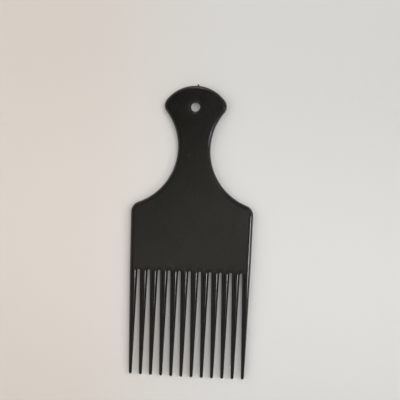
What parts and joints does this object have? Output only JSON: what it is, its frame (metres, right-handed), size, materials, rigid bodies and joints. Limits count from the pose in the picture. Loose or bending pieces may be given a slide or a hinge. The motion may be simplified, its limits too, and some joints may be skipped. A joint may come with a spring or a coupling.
{
  "type": "afro pick",
  "caption": "Flat one-piece plastic hair pick: long straight tapered teeth in one row, a solid blade, a waisted neck and a fan-shaped grip end with a hanging hole.",
  "frame": {"origin": "centre of the bounding box in X and Y, at the back face that the pick lies on", "axes": "+X across the row of teeth, +Y from the teeth towards the fan-shaped grip end, +Z out of the front face through the thickness"},
  "size_m": [0.0714, 0.1712, 0.0046],
  "materials": {
    "plastic": "black, moulded, semi-gloss faces and glossy teeth"
  },
  "bodies": {
    "root": {"handle_grip": "plastic", "neck": "plastic", "shoulder": "plastic", "blade": "plastic", "tooth_01": "plastic", "tooth_02": "plastic", "tooth_03": "plastic", "tooth_04": "plastic", "tooth_05": "plastic", "tooth_06": "plastic", "tooth_07": "plastic", "tooth_08": "plastic", "tooth_09": "plastic", "tooth_10": "plastic", "tooth_11": "plastic", "tooth_12": "plastic"}
  },
  "joints": []
}
